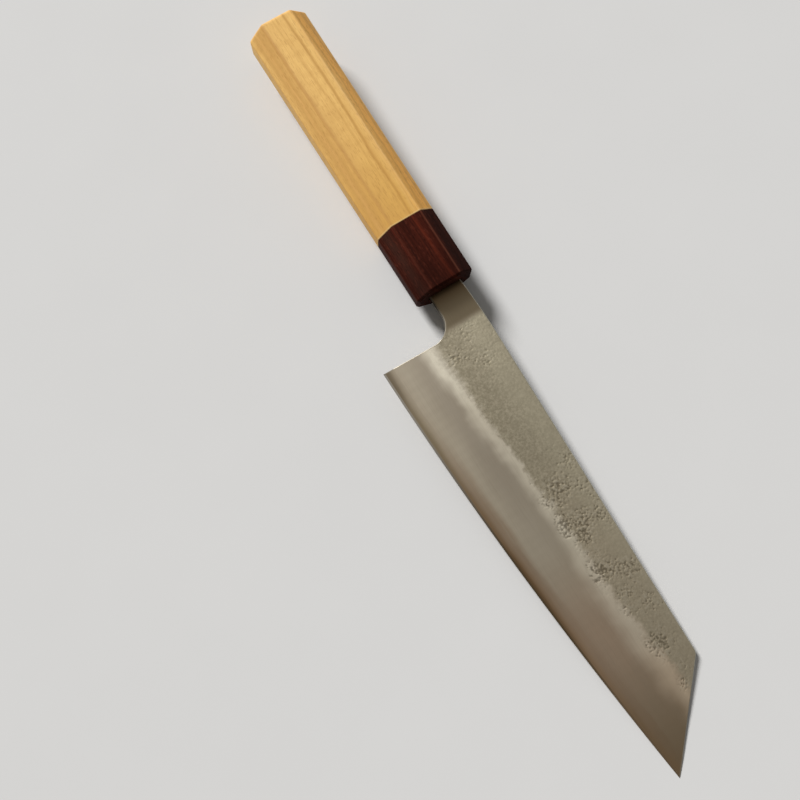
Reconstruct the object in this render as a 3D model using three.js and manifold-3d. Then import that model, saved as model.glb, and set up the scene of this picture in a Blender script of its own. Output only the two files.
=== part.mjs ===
// A bunka kitchen knife: a three-layer steel blade with a clipped tip, on an octagonal wooden handle.
// Millimetres. +X runs to the tip, +Y to the spine and +Z out of the blade's right face.
import * as THREE from 'three';
import { mergeVertices } from 'three/addons/utils/BufferGeometryUtils.js';
import Module from 'manifold-3d';

const wasm = await Module();
wasm.setup();

// Blade outline: lengths from the ferrule's front face, heights from the handle's axis
const neckReach = 16.2; // ferrule to the corner of the heel
const edgeReach = 179.4; // heel to point, along the handle
const heelDrop = 38.2;
const pointDrop = 25;
const edgeBelly = 2.45; // bow of the cutting edge below the straight line from heel to point
const spineRise = 7.6; // highest place of the spine, just ahead of the heel
const spineCrest = 22; // distance of that place from the ferrule
const spineDip = 0.7; // how much lower the spine is at the ferrule
const spineFall = 2.8; // how much lower the spine is at the corner of the clipped tip
const clipReach = 32.5; // clipped tip, from its corner to the point
const clipRounding = 1.4; // length of spine and clip taken up by the rounded corner between them
const neckDrop = 6.8; // underside of the neck
const choilRadius = 8.6; // hollow between the neck and the heel
const heelLean = 0.75; // how far the top of the heel stands ahead of its corner

// Blade thickness: half sizes, because both faces are alike
const neckHalf = 1.6;
const neckBlend = 13.6; // length over which the flat neck turns into the tapered face
const spineHalf = 1.6; // where the spine's highest line would meet the ferrule
const distalTaper = 0.0031; // loss of half thickness per millimetre towards the point
const faceTaper = 0.0164; // loss of half thickness per millimetre from spine to bevel
const spineEase = 0.35; // broken corners along the spine
const bevelHeight = 22; // where the ground bevel would meet the upper face, above the edge
const blendAbove = 1.2; // soft ridge, above and below that line
const blendBelow = 4.6;
const edgeBevelHeight = 0.8; // the last narrow bevel that makes the cutting edge
const edgeBevelHalf = 0.16;
const edgeHalf = 0.04;
const coreThickness = 0.64; // hard steel between the two claddings

// Tang
const neckSeat = 5; // length of the full neck inside the ferrule
const tangLength = 62; // behind the shoulders
const tangRootHalf = 4.2; // half height at the shoulders
const tangEndHalf = 2.6;
const tangEndEase = 1.5; // corners taken off the end

// Handle: an octagon with 45 degree corners, tapering to the front
const bodyLength = 98.9;
const ferruleLength = 29.5;
const buttHeight = 25.8;
const buttWidth = 20.3;
const buttCorner = 6.2; // leg of each 45 degree corner
const frontHeight = 24.9;
const frontWidth = 19.4;
const frontCorner = 5.9;
const buttChamfer = 0.8;
const frontChamfer = 0.8;

// Dowel and bedding
const dowelRadius = 6.5;
const dowelFloor = 1; // wood of the dowel behind the resin
const mortiseSpare = 0.6; // room behind the shoulders
const mortiseFloor = 2.4; // wood of the ferrule between the mortise and the dowel
const beddingWall = 0.8; // resin at each side of the tang
const beddingRim = 0.5; // resin above and below the tang
const beddingRecess = 0.25; // how far the resin stays behind the ferrule's face
const slotSpare = 1.5; // resin behind the end of the tang
const glueGap = 0.3; // glue line round the dowel and at the tang's sloping sides

// Cutting bodies and steps
const overcut = 6; // how far a cutting body reaches past what it cuts
const neckStations = 4; // cross-sections along the neck
const bladeStations = 24; // cross-sections along the blade
const roundSteps = 12; // steps in each curve of the outline
const dowelSides = 40;

const pointX = neckReach + edgeReach;
const clipX = pointX - clipReach;
const shoulderX = -neckSeat;
const tangEndX = shoulderX - tangLength;
const handleLength = bodyLength + ferruleLength;
const mortiseX = shoulderX - mortiseSpare;
const dowelStartX = mortiseX - mortiseFloor;
const slotEndX = tangEndX - slotSpare;
const dowelEndX = slotEndX - dowelFloor;
const coreHalf = coreThickness / 2;
const slotHalf = neckHalf + beddingWall;

const lerp = THREE.MathUtils.lerp;
const clamp = THREE.MathUtils.clamp;

function solid(geometry) {
  const bare = geometry.clone();
  bare.deleteAttribute('normal');
  bare.deleteAttribute('uv');
  const merged = mergeVertices(bare, 1e-5);
  const vertProperties = new Float32Array(merged.attributes.position.array);
  const triVerts = new Uint32Array(merged.index.array);
  return new wasm.Manifold(new wasm.Mesh({ numProp: 3, vertProperties, triVerts }));
}

function geometryOf(manifold) {
  const { vertProperties, triVerts } = manifold.getMesh();
  const geometry = new THREE.BufferGeometry();
  geometry.setAttribute('position', new THREE.BufferAttribute(new Float32Array(vertProperties), 3));
  geometry.setIndex(new THREE.BufferAttribute(new Uint32Array(triVerts), 1));
  geometry.computeVertexNormals();
  return geometry;
}

// A closed skin through rings of points that run round +X, from the rearmost ring to the foremost.
// The second half of each ring mirrors the first, and its triangles do too.
function loft(rings) {
  const count = rings[0].length;
  const index = [];
  for (let i = 0; i + 1 < rings.length; i += 1) {
    for (let j = 0; j < count; j += 1) {
      const a = i * count + j;
      const b = i * count + (j + 1) % count;
      const c = b + count;
      const d = a + count;
      const triangles = j < count / 2 ? [a, b, c, a, c, d] : [a, b, d, b, c, d];
      index.push(...triangles);
    }
  }
  const last = (rings.length - 1) * count;
  for (let j = 1; j + 1 < count; j += 1) {
    index.push(0, j + 1, j, last, last + j, last + j + 1);
  }
  const geometry = new THREE.BufferGeometry().setFromPoints(rings.flat());
  geometry.setIndex(index);
  return geometry;
}

function block(low, high) {
  const size = high.clone().sub(low);
  const centre = high.clone().add(low).multiplyScalar(0.5);
  return solid(new THREE.BoxGeometry(...size).translate(...centre));
}

function rod(radius, fromX, toX) {
  const geometry = new THREE.CylinderGeometry(radius, radius, toX - fromX, dowelSides);
  geometry.rotateZ(-Math.PI / 2);
  geometry.translate((fromX + toX) / 2, 0, 0);
  return solid(geometry);
}

function plate(shape, half) {
  const geometry = new THREE.ExtrudeGeometry(shape, {
    depth: 2 * half,
    bevelEnabled: false,
    curveSegments: roundSteps,
  });
  return solid(geometry.translate(0, 0, -half));
}

function spineAt(x) {
  const fall = spineFall * (x - spineCrest) / (clipX - spineCrest);
  const dip = spineDip * clamp((spineCrest - x) / spineCrest, 0, 1) ** 2;
  return x > spineCrest ? spineRise - fall : spineRise - dip;
}

function edgeAt(x) {
  const share = (x - neckReach) / edgeReach;
  return lerp(-heelDrop, -pointDrop, share) - 4 * edgeBelly * share * (1 - share);
}

// Half thickness of the upper face, a plane that thins towards the point and towards the bevel
function faceHalf(x, y) {
  return spineHalf - distalTaper * x - faceTaper * (spineRise - y);
}

// One cross-section of the blade: spine, upper face, soft ridge, ground bevel and cutting edge
function bladeRing(x) {
  const spine = spineAt(x);
  const edge = edgeAt(x);
  const corner = faceHalf(x, edge + bevelHeight);
  const ridgeShare = (bevelHeight - blendBelow - edgeBevelHeight) / (bevelHeight - edgeBevelHeight);
  const ground = clamp(x / neckBlend, 0, 1);
  const section = [
    [spine, faceHalf(x, spine) - spineEase * ground],
    [spine - spineEase, faceHalf(x, spine - spineEase)],
    [edge + bevelHeight + blendAbove, faceHalf(x, edge + bevelHeight + blendAbove)],
    [edge + bevelHeight - blendBelow, lerp(edgeBevelHalf, corner, ridgeShare)],
    [edge + edgeBevelHeight, edgeBevelHalf],
    [edge, edgeHalf],
  ];
  const right = section.map(([y, half]) => new THREE.Vector3(x, y, lerp(neckHalf, half, ground)));
  const left = right.map((point) => new THREE.Vector3(x, point.y, -point.z)).reverse();
  return [...right, ...left];
}

function tangOutline(shape, gap) {
  const end = tangEndX - gap;
  const endHalf = tangEndHalf + gap;
  const rootHalf = tangRootHalf + gap;
  shape.lineTo(shoulderX - gap, rootHalf);
  shape.lineTo(end + tangEndEase, endHalf);
  shape.lineTo(end, endHalf - tangEndEase);
  shape.lineTo(end, tangEndEase - endHalf);
  shape.lineTo(end + tangEndEase, -endHalf);
  shape.lineTo(shoulderX - gap, -rootHalf);
}

// The blade's outline from the side. It passes clear of the spine and the edge, which the sections give.
function blankShape() {
  const top = spineRise + overcut;
  const corner = new THREE.Vector2(clipX, spineAt(clipX));
  const point = new THREE.Vector2(pointX, -pointDrop);
  const clipRun = point.clone().sub(corner).normalize();
  const onClip = corner.clone().addScaledVector(clipRun, clipRounding);
  const pastPoint = point.clone().addScaledVector(clipRun, overcut);
  const onSpine = new THREE.Vector2(clipX - clipRounding, spineAt(clipX - clipRounding));
  const choilX = neckReach + heelLean - choilRadius;
  const choilY = -neckDrop - choilRadius;
  const heelSlope = heelLean / (heelDrop + choilY);
  const shape = new THREE.Shape();
  shape.moveTo(pastPoint.x, pastPoint.y);
  shape.lineTo(onClip.x, onClip.y);
  shape.quadraticCurveTo(corner.x, corner.y, onSpine.x, onSpine.y);
  shape.lineTo(onSpine.x, top);
  shape.lineTo(shoulderX, top);
  tangOutline(shape, 0);
  shape.lineTo(shoulderX, -neckDrop);
  shape.lineTo(choilX, -neckDrop);
  shape.absarc(choilX, choilY, choilRadius, Math.PI / 2, 0, true);
  shape.lineTo(neckReach - heelSlope * overcut, -heelDrop - overcut);
  shape.lineTo(pastPoint.x, -heelDrop - overcut);
  return shape;
}

// The forged and ground blade with its tang, before it is parted into layers
function wholeBlade() {
  const rings = [bladeRing(tangEndX - overcut)];
  for (let i = 0; i < neckStations; i += 1) {
    rings.push(bladeRing(neckBlend * i / neckStations));
  }
  for (let i = 0; i <= bladeStations; i += 1) {
    rings.push(bladeRing(lerp(neckBlend, pointX + overcut, i / bladeStations)));
  }
  return solid(loft(rings)).intersect(plate(blankShape(), 2 * neckHalf));
}

function layer(blade, fromZ, toZ) {
  const low = new THREE.Vector3(tangEndX - overcut, -heelDrop - overcut, fromZ);
  const high = new THREE.Vector3(pointX + overcut, spineRise + overcut, toZ);
  return blade.intersect(block(low, high));
}

// One ring of the handle, moved in on every side by inset
function octagonRing(x, inset) {
  const share = -x / handleLength;
  const halfHeight = lerp(frontHeight, buttHeight, share) / 2 - inset;
  const halfWidth = lerp(frontWidth, buttWidth, share) / 2 - inset;
  const corner = lerp(frontCorner, buttCorner, share) - inset * (2 - Math.SQRT2);
  const quarter = [
    [halfHeight, halfWidth - corner],
    [halfHeight - corner, halfWidth],
  ];
  const upper = [...quarter, ...quarter.map(([y, z]) => [-y, z]).reverse()];
  const round = [...upper, ...upper.map(([y, z]) => [y, -z]).reverse()];
  return round.map(([y, z]) => new THREE.Vector3(x, y, z));
}

// Room for the full neck at the ferrule's mouth, from the bottom of the mortise to frontX
function mortise(frontX) {
  const rise = spineAt(0) + glueGap + beddingRim;
  const drop = neckDrop + glueGap + beddingRim;
  return block(new THREE.Vector3(mortiseX, -drop, -slotHalf), new THREE.Vector3(frontX, rise, slotHalf));
}

// Room for the tang, from its end to frontX
function tangSlot(frontX) {
  const half = tangRootHalf + glueGap + beddingRim;
  return block(new THREE.Vector3(slotEndX, -half, -slotHalf), new THREE.Vector3(frontX, half, slotHalf));
}

function makeFerrule() {
  const skin = loft([
    octagonRing(-ferruleLength, 0),
    octagonRing(-frontChamfer, 0),
    octagonRing(0, frontChamfer),
  ]);
  const bore = rod(dowelRadius + glueGap, -ferruleLength - overcut, dowelStartX);
  return solid(skin).subtract(bore).subtract(mortise(overcut)).subtract(tangSlot(0));
}

function makeHandleBody() {
  const skin = loft([
    octagonRing(-handleLength, buttChamfer),
    octagonRing(-handleLength + buttChamfer, 0),
    octagonRing(-ferruleLength, 0),
  ]);
  const bore = rod(dowelRadius + glueGap, dowelEndX - glueGap, -ferruleLength + overcut);
  return solid(skin).subtract(bore);
}

function makeDowel() {
  return rod(dowelRadius, dowelEndX, dowelStartX).subtract(tangSlot(0));
}

function makeTangBedding() {
  const shape = new THREE.Shape();
  shape.moveTo(overcut, spineAt(0) + glueGap);
  shape.lineTo(shoulderX - glueGap, spineAt(0) + glueGap);
  tangOutline(shape, glueGap);
  shape.lineTo(shoulderX - glueGap, -neckDrop - glueGap);
  shape.lineTo(overcut, -neckDrop - glueGap);
  const room = mortise(-beddingRecess).add(tangSlot(-beddingRecess));
  return room.subtract(plate(shape, neckHalf));
}

const coreSteel = { color: 0x8f8a82, roughness: 0.28, metalness: 1 };
const softSteel = { color: 0xa9a39a, roughness: 0.42, metalness: 1 };
const paleWood = { color: 0xdcae66, roughness: 0.55, metalness: 0 };
const redWood = { color: 0x43201b, roughness: 0.4, metalness: 0 };
const plainWood = { color: 0xc9a878, roughness: 0.7, metalness: 0 };
const darkResin = { color: 0x2e2019, roughness: 0.5, metalness: 0 };

const blade = wholeBlade();
const pieces = [
  ['blade_core', layer(blade, -coreHalf, coreHalf), coreSteel],
  ['right_cladding', layer(blade, coreHalf, 2 * neckHalf), softSteel],
  ['left_cladding', layer(blade, -2 * neckHalf, -coreHalf), softSteel],
  ['ferrule', makeFerrule(), redWood],
  ['handle_body', makeHandleBody(), paleWood],
  ['dowel', makeDowel(), plainWood],
  ['tang_bedding', makeTangBedding(), darkResin],
];

const knife = new THREE.Group();
for (const [name, body, finish] of pieces) {
  const mesh = new THREE.Mesh(geometryOf(body), new THREE.MeshStandardMaterial(finish));
  mesh.name = name;
  knife.add(mesh);
}

// The origin is under the middle of the knife as it lies on its left side
const widest = octagonRing(buttChamfer - handleLength, 0);
const buttTop = Math.max(...widest.map((point) => point.y));
const buttSide = Math.max(...widest.map((point) => point.z));
knife.position.set((handleLength - pointX) / 2, (heelDrop - buttTop) / 2, buttSide);

export default knife;
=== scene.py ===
import math

import bmesh
import bpy
from mathutils import Matrix, Vector


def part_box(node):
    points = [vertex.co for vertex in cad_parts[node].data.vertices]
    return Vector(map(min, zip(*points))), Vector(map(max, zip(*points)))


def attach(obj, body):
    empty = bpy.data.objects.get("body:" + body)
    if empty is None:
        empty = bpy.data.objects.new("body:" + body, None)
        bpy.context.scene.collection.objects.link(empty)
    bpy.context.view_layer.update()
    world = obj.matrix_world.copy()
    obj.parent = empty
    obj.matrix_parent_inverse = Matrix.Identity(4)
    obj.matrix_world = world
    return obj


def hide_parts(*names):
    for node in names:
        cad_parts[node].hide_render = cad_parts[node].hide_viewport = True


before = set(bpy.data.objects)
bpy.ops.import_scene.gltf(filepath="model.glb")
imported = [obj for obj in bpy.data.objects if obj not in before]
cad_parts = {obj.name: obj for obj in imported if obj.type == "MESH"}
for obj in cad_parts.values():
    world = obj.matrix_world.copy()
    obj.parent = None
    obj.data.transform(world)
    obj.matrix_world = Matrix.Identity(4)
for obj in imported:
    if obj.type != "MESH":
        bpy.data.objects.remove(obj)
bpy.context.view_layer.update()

MM = 0.001

# The knife's own axes, in millimetres: x from the ferrule's front face to the point,
# y from the handle's axis to the spine, z from the middle of the blade out of its right face
ferrule_low, ferrule_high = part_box("ferrule")
FERRULE_MIDDLE = (ferrule_low + ferrule_high) / 2
ORIGIN = Vector((ferrule_high.x, FERRULE_MIDDLE.y, FERRULE_MIDDLE.z))


def knife_box(node):
    low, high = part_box(node)
    return (low - ORIGIN) / MM, (high - ORIGIN) / MM


def in_frame(x, y, z):
    return ORIGIN + Vector((x, y, z)) * MM


# Sizes that the frame gives
core_low, core_high = knife_box("blade_core")
handle_low, handle_high = knife_box("handle_body")
collar_low, collar_high = knife_box("ferrule")
bedding_low, bedding_high = knife_box("tang_bedding")
dowel_low, dowel_high = knife_box("dowel")
POINT_X = core_high.x
HEEL_Y = core_low.y
SPINE_Y = core_high.y
CORE_HALF = core_high.z
NECK_HALF = knife_box("right_cladding")[1].z
TANG_END_X = core_low.x
BUTT_X = handle_low.x
JOINT_X = collar_low.x

# Blade outline
NECK_REACH = 16.2
POINT_Y = -25
EDGE_BELLY = 2.45
SPINE_CREST = 22
SPINE_DIP = 0.7
SPINE_FALL = 2.8
CLIP_X = POINT_X - 32.5
CLIP_ROUNDING = 1.1
NECK_DROP = 6.8
CHOIL_RADIUS = 8.6
HEEL_LEAN = 0.75
HEEL_X = NECK_REACH + HEEL_LEAN
CHOIL_X = HEEL_X - CHOIL_RADIUS
CHOIL_Y = -NECK_DROP - CHOIL_RADIUS
SHOULDER_X = -5
SHOULDER_STEP = 0.05
TANG_ROOT_HALF = 4.2
TANG_END_HALF = 2.6

# Blade grind: half thicknesses, and heights above the cutting edge
NECK_BLEND = 13.6
DISTAL_TAPER = 0.0031
FACE_TAPER = 0.0164
BEVEL_HEIGHT = 22
RIDGE_SOFTNESS = 0.11
EDGE_BEVEL_HEIGHT = 0.8
EDGE_BEVEL_HALF = 0.16
EDGE_HALF = 0.04
SPINE_ROUND = 0.45
RIM_ROUND = 0.18
ROUNDING_ROOM = 0.85
RIM_WIDTH = (0.08, 0.42)

# Ripple that the grindstone left on the bevel, and the heights between which it comes and goes
GRIND_RIPPLE = 0.012
RIPPLE_WAVES = [(1, 0.21, 0), (0.6, 0.53, 1.3), (0.4, 1.7, 0.4)]
RIPPLE_RISE = (EDGE_BEVEL_HEIGHT, 3)
RIPPLE_FALL = (10, 17)

# Handle
CORNER = 6.2
CORNER_SOFTNESS = 1.0
BUTT_CHAMFER = 0.8
FRONT_CHAMFER = 0.8
JOINT_CHAMFER = 0.12
BORE_CLEARANCE = 0.3
MORTISE_SPARE = 0.6
CUTTER_OVERRUN = 5

# Growth of the octagon's half height and half width along the handle
TAPER_LENGTH = JOINT_X - (BUTT_X + BUTT_CHAMFER)
HEIGHT_SLOPE = (collar_high.y - handle_high.y) / TAPER_LENGTH
WIDTH_SLOPE = (collar_high.z - handle_high.z) / TAPER_LENGTH

# Fineness of the grids: rows are shares of a column, from its foot or from where its skin starts
NECK_COLUMNS = 27
CHOIL_COLUMNS = 24
HEEL_OFFSETS = (0, 0.04, 0.1, 0.18, 0.3)
EVEN_COLUMNS_FROM = 0.5
HEEL_LEAN_FADE = 14
FACE_SPACING = 0.25
CORE_SPACING = 0.8
SPLIT_SHARE = 0.6
SPLIT_ROUNDING = 2
BEVEL_ROWS = 6
RIDGE_ROWS = 21
RIDGE_ROWS_FROM = 0.72
SKIN_ROWS = 90
SPINE_ROWS = 5
SPINE_ROWS_FROM = 0.978
CORE_BARE_HEIGHT = 6
CORE_BARE_ROWS = (0, 0.08, 0.16, 0.3, 0.5, 0.75)
CORE_BEVEL_ROWS = 3
CORE_SKIN_ROWS = 4
HANDLE_STATIONS = 61
EASED_POINTS = 5
BORE_SIDES = 48
BLADE_SHARP_DEGREES = 35
HANDLE_SHARP_DEGREES = 32

# Points closer than this are taken as one
SAME_PLACE = 1e-4

# Pear skin: the sizes of its pits and grain, and a seed for each face
PIT_SIZE = 0.9
PIT_DEPTH = 0.08
GRAIN_DEPTH = 0.12
RIGHT_SEED = 1.7
LEFT_SEED = 6.3
LEFT_CLUSTER_SHIFT = 8

# Line where the pitted skin gives way to the blended band: x, and height above the edge
SKIN_LINE = [
    (16, 21.9), (24, 22.3), (45, 22.9), (65, 23.6), (85, 24.2),
    (105, 24.3), (125, 23.2), (145, 22.8), (165, 23.0), (196, 22.2),
]

# Where the forging scale bit deepest: x, y, radius and strength
PIT_CLUSTERS = [
    (22, -3, 12, 0.42), (31, -2.5, 6, 0.66), (25, -11, 6, 0.58), (80, 3.5, 6, 0.78),
    (88, -5, 8, 0.85), (89, -11, 5, 0.85), (92, 3, 8, 0.6), (100, -11, 6, 1.0),
    (102, -4, 7, 0.95), (107, -7, 6, 0.95), (104, 3, 8, 0.6), (114, -7, 6, 0.5),
    (121, -9, 6, 0.95), (123, -4.5, 6, 0.9), (126, 1, 6, 0.75), (139, 0, 7, 0.72),
    (132, -5, 4.5, 0.78), (137, -8, 4, 0.72), (153, -6, 6, 1.0), (150, -1, 8, 0.5),
    (169.5, -5.5, 3.2, 0.85), (164, -1.5, 5, 0.4),
]

# Floor, light and camera: the floor's size is in metres, the camera's place in the knife's axes
FLOOR_SIZE = 40
FLOOR_TONES = ((0.63, 0.625, 0.615, 1.0), (0.65, 0.645, 0.635, 1.0))
SUN_FROM = (-0.80, -0.18, 0.55)
SUN_WIDTH_DEGREES = 18
SUN_STRENGTH = 4.3
SKY_COLOUR = (1.0, 0.985, 0.96, 1.0)
SKY_STRENGTH = 0.21
CAMERA_PLACE = (66.81, -69.17, 299.99)
CAMERA_RIGHT = (0.5265, 0.8499, 0.0201)
CAMERA_UP = (-0.8405, 0.5168, 0.1629)
CAMERA_LENS = 36
CAMERA_SENSOR = 36
CAMERA_NEAR = 0.01


def lerp(a, b, share):
    return a + (b - a) * share


def clamp(value):
    return min(max(value, 0), 1)


def smooth(low, high, value):
    share = clamp((value - low) / (high - low))
    return share * share * (3 - 2 * share)


def smooth_min(a, b, width):
    share = clamp(0.5 + 0.5 * (b - a) / width)
    return lerp(b, a, share) - width * share * (1 - share)


# Shape of the blade

def spine_at(x):
    fall = SPINE_FALL * (x - SPINE_CREST) / (CLIP_X - SPINE_CREST)
    dip = SPINE_DIP * clamp((SPINE_CREST - x) / SPINE_CREST) ** 2
    return SPINE_Y - (fall if x > SPINE_CREST else dip)


def top_at(x):
    clip = lerp(spine_at(CLIP_X), POINT_Y, (x - CLIP_X) / (POINT_X - CLIP_X))
    return smooth_min(spine_at(x), clip, CLIP_ROUNDING)


def edge_at(x):
    share = (x - NECK_REACH) / (POINT_X - NECK_REACH)
    return lerp(HEEL_Y, POINT_Y, share) - 4 * EDGE_BELLY * share * (1 - share)


def ripple_at(x):
    waves = sum(share * math.sin(rate * x + start) for share, rate, start in RIPPLE_WAVES)
    return GRIND_RIPPLE * waves / 2


def face_half(x, y):
    return NECK_HALF - DISTAL_TAPER * x - FACE_TAPER * (SPINE_Y - y)


def bevel_slope(x):
    """How fast the half thickness grows with height, from the last bevel up to the ridge."""
    corner = face_half(x, edge_at(x) + BEVEL_HEIGHT)
    return (corner - EDGE_BEVEL_HALF) / (BEVEL_HEIGHT - EDGE_BEVEL_HEIGHT)


def core_line(x):
    """Where the grind uncovers the core: the lower end of the claddings."""
    rise = (CORE_HALF - EDGE_BEVEL_HALF - ripple_at(x)) / bevel_slope(x)
    return edge_at(x) + EDGE_BEVEL_HEIGHT + rise


def half_at(x, y):
    height = y - edge_at(x)
    ripple = ripple_at(x) * smooth(*RIPPLE_RISE, height) * (1 - smooth(*RIPPLE_FALL, height))
    bevel = EDGE_BEVEL_HALF + bevel_slope(x) * (height - EDGE_BEVEL_HEIGHT) + ripple
    ground = smooth_min(face_half(x, y), bevel, RIDGE_SOFTNESS)
    if height < EDGE_BEVEL_HEIGHT:
        ground = lerp(EDGE_HALF, EDGE_BEVEL_HALF, clamp(height / EDGE_BEVEL_HEIGHT))
    return lerp(NECK_HALF, ground, clamp(x / NECK_BLEND))


def heel_x(y):
    return HEEL_X - HEEL_LEAN * clamp((CHOIL_Y - y) / (CHOIL_Y - HEEL_Y))


def rim_distance(x, y):
    """Distance to the spine or clip, and to the neck's underside, choil or heel."""
    reach = 0.05
    slope = (top_at(x + reach) - top_at(x - reach)) / (2 * reach)
    from_top = (top_at(x) - y) / math.hypot(1, slope)
    if x < CHOIL_X:
        from_below = y + NECK_DROP
    elif y > CHOIL_Y:
        from_below = math.hypot(x - CHOIL_X, y - CHOIL_Y) - CHOIL_RADIUS
    else:
        from_below = x - heel_x(y)
    return max(from_top, 0), max(from_below, 0)


def rounding(distance, radius):
    """How far a rounded rim drops at a distance from it."""
    inside = max(radius - distance, 0)
    return radius - math.sqrt(radius * radius - inside * inside)


def outer_face(x, y):
    half = half_at(x, y)
    room = ROUNDING_ROOM * max(half - CORE_HALF, 0)
    from_top, from_below = rim_distance(x, y)
    drop = max(rounding(from_top, SPINE_ROUND), rounding(from_below, RIM_ROUND))
    return half - min(drop, room)


def skin_line_at(x):
    for (x0, y0), (x1, y1) in zip(SKIN_LINE, SKIN_LINE[1:]):
        if x <= x1:
            return lerp(y0, y1, smooth(x0, x1, x))
    return SKIN_LINE[-1][1]


def pitting_at(x, y, clusters):
    return max(strength * math.exp(-((x - cx) ** 2 + (y - cy) ** 2) / radius ** 2)
               for cx, cy, radius, strength in clusters)


# Grids of points over the blade's side: columns that stand on the edge, the choil or the neck's underside

def steps(count):
    return [i / count for i in range(count)]


def neck_stations():
    """x, lowest and highest y along the tang, the neck and the choil's curve."""
    for x in (TANG_END_X, 0.5 * (TANG_END_X + SHOULDER_X), SHOULDER_X - SHOULDER_STEP):
        half = lerp(TANG_ROOT_HALF, TANG_END_HALF, (x - SHOULDER_X) / (TANG_END_X - SHOULDER_X))
        yield x, -half, half
    for step in steps(NECK_COLUMNS):
        x = lerp(SHOULDER_X, CHOIL_X, step)
        yield x, -NECK_DROP, top_at(x)
    for step in steps(CHOIL_COLUMNS):
        angle = 0.5 * math.pi * step
        x = CHOIL_X + CHOIL_RADIUS * math.sin(angle)
        yield x, CHOIL_Y + CHOIL_RADIUS * math.cos(angle), top_at(x)


def blade_stations(end_x, spacing):
    """x from the heel to the tip, closer together where the heel's rim is rounded."""
    yield from (HEEL_X + offset for offset in HEEL_OFFSETS)
    start = HEEL_X + EVEN_COLUMNS_FROM
    count = round((end_x - start) / spacing)
    yield from (lerp(start, end_x, i / count) for i in range(count + 1))


def blade_columns(low_at, end_x, spacing, bevel_steps, skin_steps):
    """Columns of points: bevel rows from the foot to the choil's height, then skin rows up to the spine."""
    split_height = CHOIL_Y - edge_at(HEEL_X)
    columns = []
    for x, low, high in neck_stations():
        rows = [Vector((x, lerp(low, high, step))) for step in skin_steps]
        columns.append([None] * len(bevel_steps) + rows)
    for x in blade_stations(end_x, spacing):
        low = low_at(x)
        high = max(top_at(x), low)
        split = smooth_min(edge_at(x) + split_height, lerp(low, high, SPLIT_SHARE), SPLIT_ROUNDING)
        split = max(split, low)
        heights = [lerp(low, split, step) for step in bevel_steps]
        heights += [lerp(split, high, step) for step in skin_steps]
        lean = 1 - smooth(HEEL_X, HEEL_X + HEEL_LEAN_FADE, x)
        columns.append([Vector((x + lean * (heel_x(y) - HEEL_X), y)) for y in heights])
    return columns


def add_sheet(bm, columns, z_at):
    """Faces between neighbouring columns. The last column closes in one point, the tip."""
    grid = []
    for column in columns:
        grid.append([point and bm.verts.new(in_frame(*point, z_at(*point))) for point in column])
    tip = grid[-1][0]
    for extra in grid[-1][1:]:
        bm.verts.remove(extra)
    grid[-1] = [tip] * len(grid[-1])
    for back, front in zip(grid, grid[1:]):
        for row in range(len(back) - 1):
            corners = [back[row], front[row], front[row + 1], back[row + 1]]
            if None not in corners:
                bm.faces.new(list(dict.fromkeys(corners)))
    return grid


def rim_loop(faces):
    """The open rim of a sheet, in order."""
    rim = [loop for face in faces for loop in face.loops if loop.edge.is_boundary]
    following = {loop.vert: loop.link_loop_next.vert for loop in rim}
    ordered = [rim[0].vert]
    while following[ordered[-1]] is not ordered[0]:
        ordered.append(following[ordered[-1]])
    return ordered


def new_object(name, data):
    made = bpy.data.objects.new(name, data)
    bpy.context.scene.collection.objects.link(made)
    return made


def smooth_sides(made, degrees):
    made.data.polygons.foreach_set("use_smooth", [True] * len(made.data.polygons))
    made.data.set_sharp_from_angle(angle=math.radians(degrees))


def mesh_object(name, bm):
    bmesh.ops.recalc_face_normals(bm, faces=bm.faces)
    mesh = bpy.data.meshes.new(name)
    bm.to_mesh(mesh)
    bm.free()
    made = new_object(name, mesh)
    smooth_sides(made, BLADE_SHARP_DEGREES)
    return made


def tip_of(low_at):
    """x where a lower line meets the clip, found by halving."""
    near, far = CLIP_X, POINT_X + 1
    for _ in range(40):
        middle = 0.5 * (near + far)
        if top_at(middle) > low_at(middle):
            near = middle
        else:
            far = middle
    return near


def note_surface(bm, clusters):
    """Marks each point with what its finish depends on."""
    above_edge = bm.verts.layers.float.new("above_edge")
    above_skin_line = bm.verts.layers.float.new("above_skin_line")
    rim = bm.verts.layers.float.new("rim")
    pitting = bm.verts.layers.float.new("pitting")
    for vert in bm.verts:
        x, y, _ = (vert.co - ORIGIN) / MM
        height = y - edge_at(x)
        vert[above_edge] = height
        vert[above_skin_line] = height - skin_line_at(x)
        vert[rim] = 1 - smooth(*RIM_WIDTH, min(rim_distance(x, y)))
        vert[pitting] = pitting_at(x, y, clusters)


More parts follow.
